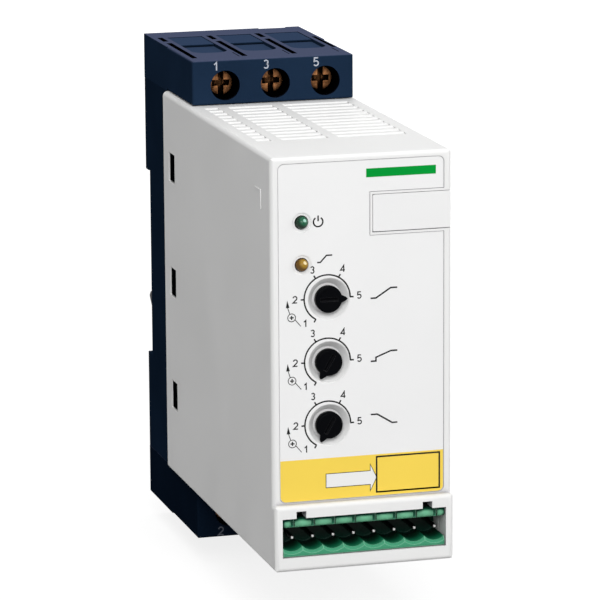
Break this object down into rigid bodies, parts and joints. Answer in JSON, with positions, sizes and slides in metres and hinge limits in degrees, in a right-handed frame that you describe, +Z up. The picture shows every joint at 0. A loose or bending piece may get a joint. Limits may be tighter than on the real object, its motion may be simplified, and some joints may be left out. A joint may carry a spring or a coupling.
{
  "type": "soft starter",
  "caption": "Narrow rail-mounted motor soft starter: white vented hood with setting dials, lamps and a green plug socket, dark blue base with terminal heads.",
  "frame": {"origin": "mid-width, on the back plane, at the height of the mounting rail's centreline", "axes": "+X to the right seen from the front, +Y towards the rail at the back, +Z up towards the line terminals"},
  "size_m": [0.0448, 0.131, 0.127],
  "materials": {
    "white_plastic": "fine matt moulding",
    "navy_plastic": "matt moulding",
    "label_film": "satin printed film",
    "tag_plastic": "smooth plate",
    "black_plastic": "matt moulding",
    "green_plastic": "smooth moulding",
    "green_lens": "clear tinted resin",
    "amber_lens": "clear tinted resin",
    "plated_steel": "zinc plated",
    "tinned_pin": "tin plated",
    "copper_screw": "bright copper-brass",
    "copper_bar": "rolled copper",
    "sink_aluminium": "extruded",
    "board_laminate": "solder mask",
    "module_case": "filled resin",
    "relay_case": "sealed case",
    "pot_case": "moulded case",
    "core_steel": "varnished laminations",
    "capacitor_sleeve": "shrunk sleeve",
    "varistor_coat": "dipped resin"
  },
  "bodies": {
    "housing": {"base_housing": "navy_plastic", "line_terminal_head": "navy_plastic", "load_terminal_head": "navy_plastic", "front_cover": "white_plastic", "fascia_label": "label_film", "marker_tag": "tag_plastic", "latch_spring": "plated_steel", "start_ramp_pot": "pot_case", "start_voltage_pot": "pot_case", "stop_ramp_pot": "pot_case", "power_lamp": "green_lens", "run_lamp": "amber_lens", "lamp_spacers": "black_plastic", "control_board": "board_laminate", "control_board_screws": "plated_steel", "control_header": "green_plastic", "header_pins": "tinned_pin", "power_board": "board_laminate", "board_link": "black_plastic", "heat_sink": "sink_aluminium", "heat_sink_screws": "plated_steel", "thyristor_first": "module_case", "thyristor_third": "module_case", "bypass_relay_first": "relay_case", "bypass_relay_third": "relay_case", "supply_transformer": "core_steel", "smoothing_capacitor": "capacitor_sleeve", "varistors": "varistor_coat", "line_screws": "copper_screw", "load_screws": "copper_screw", "line_cage_1": "plated_steel", "line_cage_3": "plated_steel", "line_cage_5": "plated_steel", "load_cage_2": "plated_steel", "load_cage_4": "plated_steel", "load_cage_6": "plated_steel", "line_busbar_1": "copper_bar", "line_busbar_5": "copper_bar", "load_busbar_2": "copper_bar", "load_busbar_6": "copper_bar", "through_busbar": "copper_bar"},
    "start_ramp_knob": {"start_ramp_knob": "black_plastic"},
    "start_voltage_knob": {"start_voltage_knob": "black_plastic"},
    "stop_ramp_knob": {"stop_ramp_knob": "black_plastic"},
    "din_latch": {"din_latch": "black_plastic"}
  },
  "joints": [
    {"name": "start_ramp_turn", "type": "hinge", "parent": "housing", "child": "start_ramp_knob", "pos_m": [-0.0081, -0.1276, 0.0065], "axis": [0, -1, 0], "range_deg": [0, 240]},
    {"name": "start_voltage_turn", "type": "hinge", "parent": "housing", "child": "start_voltage_knob", "pos_m": [-0.0081, -0.1276, -0.0088], "axis": [0, -1, 0], "range_deg": [-240, 0]},
    {"name": "stop_ramp_turn", "type": "hinge", "parent": "housing", "child": "stop_ramp_knob", "pos_m": [-0.0081, -0.1276, -0.0241], "axis": [0, -1, 0], "range_deg": [-240, 0]},
    {"name": "latch_pull", "type": "slide", "parent": "housing", "child": "din_latch", "axis": [0, 0, -1], "range_m": [0, 0.003], "stiffness_N_per_m": 800, "springref_m": -0.003, "deforming": ["latch_spring"]}
  ]
}
